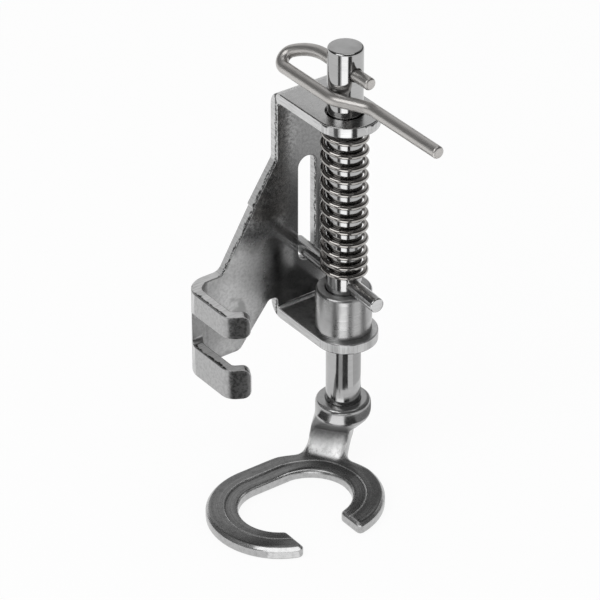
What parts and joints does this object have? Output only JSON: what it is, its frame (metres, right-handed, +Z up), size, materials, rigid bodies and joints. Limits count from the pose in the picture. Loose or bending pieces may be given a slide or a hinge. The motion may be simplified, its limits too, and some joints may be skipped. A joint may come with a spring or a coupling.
{
  "type": "sewing machine presser foot",
  "caption": "Spring-loaded free-motion presser foot: folded bracket with a side clamp fork, sliding rod with return spring and guide pin, bent lifter wire and open-toe ring foot.",
  "frame": {"origin": "middle of the clamp screw's slot, on the fork's outer face", "axes": "+Z up along the plunger rod, -Y towards the sewer, -X out of the fork, away from the rod"},
  "size_m": [0.0307, 0.0336, 0.0672],
  "materials": {
    "plated_sheet": "tumbled nickel plate",
    "polished_steel": "polished",
    "plated_casting": "polished nickel plate",
    "spring_wire": "drawn wire",
    "clip_wire": "satin nickel plate"
  },
  "bodies": {
    "bracket": {"bracket": "plated_sheet", "guide_bush": "polished_steel", "return_spring": "spring_wire"},
    "plunger": {"plunger_rod": "polished_steel", "foot": "plated_casting", "cross_pin": "polished_steel", "lifter_wire": "clip_wire"}
  },
  "joints": [
    {"name": "plunger_slide", "type": "slide", "parent": "bracket", "child": "plunger", "axis": [0, 0, 1], "range_m": [0, 0.0095], "stiffness_N_per_m": 300, "springref_m": -0.01, "deforming": ["return_spring"]}
  ]
}
